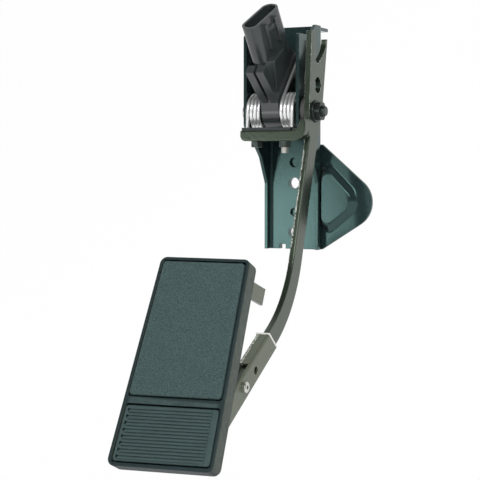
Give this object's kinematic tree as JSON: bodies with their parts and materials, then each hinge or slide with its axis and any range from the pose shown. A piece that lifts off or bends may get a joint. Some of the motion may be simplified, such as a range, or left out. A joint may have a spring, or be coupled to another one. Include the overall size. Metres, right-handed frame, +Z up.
{
  "type": "accelerator pedal",
  "caption": "Suspended accelerator pedal: channel bracket with a stamped wing, sprung bent lever, angle sensor with plug socket, and a tapered foot pad with ribbed tread.",
  "frame": {"origin": "middle of the two fixing bolt holes, on the back face of the wing plate", "axes": "+X along the pivot toward the lever and the wing, +Y away from the driver into the mounting surface, +Z up"},
  "size_m": [0.1036, 0.2357, 0.3194],
  "materials": {
    "bracket_paint": "gloss black coat on pressed steel",
    "lever_paint": "satin grey-black coat",
    "bush_plastic": "plain bearing plastic",
    "sensor_plastic": "fine moulded black",
    "terminal_metal": "tinned",
    "zinc_steel": "zinc plated",
    "dark_zinc": "dark zinc plated",
    "spring_wire": "bright zinc plated",
    "buffer_rubber": "matt",
    "pad_plastic": "fine moulded grey-black",
    "liner_plastic": "pale liner",
    "pad_rubber": "grained tread"
  },
  "bodies": {
    "bracket": {"mounting_bracket": "bracket_paint", "wing_plate": "bracket_paint", "left_bush": "bush_plastic", "right_bush": "bush_plastic", "sensor_housing": "sensor_plastic", "sensor_lid": "sensor_plastic", "connector_terminals": "terminal_metal", "sensor_screws": "zinc_steel", "left_spring": "spring_wire", "right_spring": "spring_wire"},
    "pedal": {"pivot_shaft": "zinc_steel", "shaft_clip": "zinc_steel", "thrust_washer": "bush_plastic", "pivot_washer": "dark_zinc", "pivot_nut": "dark_zinc", "sensor_rotor": "sensor_plastic", "lever": "lever_paint", "buffer_strip": "buffer_rubber", "stop_studs": "zinc_steel", "stop_nuts": "dark_zinc", "pad_bracket": "lever_paint", "pad_pin": "zinc_steel", "pad_plate": "lever_paint", "pad_shell": "pad_plastic", "tread_panel": "pad_rubber", "ribbed_panel": "pad_rubber", "bracket_liner": "liner_plastic", "pad_screws": "dark_zinc"}
  },
  "joints": [
    {"name": "pedal_pivot", "type": "hinge", "parent": "bracket", "child": "pedal", "pos_m": [0, -0.037, 0.0726], "axis": [1, 0, 0], "range_deg": [0, 18], "stiffness_Nm_per_rad": 9.5, "springref_deg": -24.06, "deforming": ["left_spring", "right_spring"]}
  ]
}
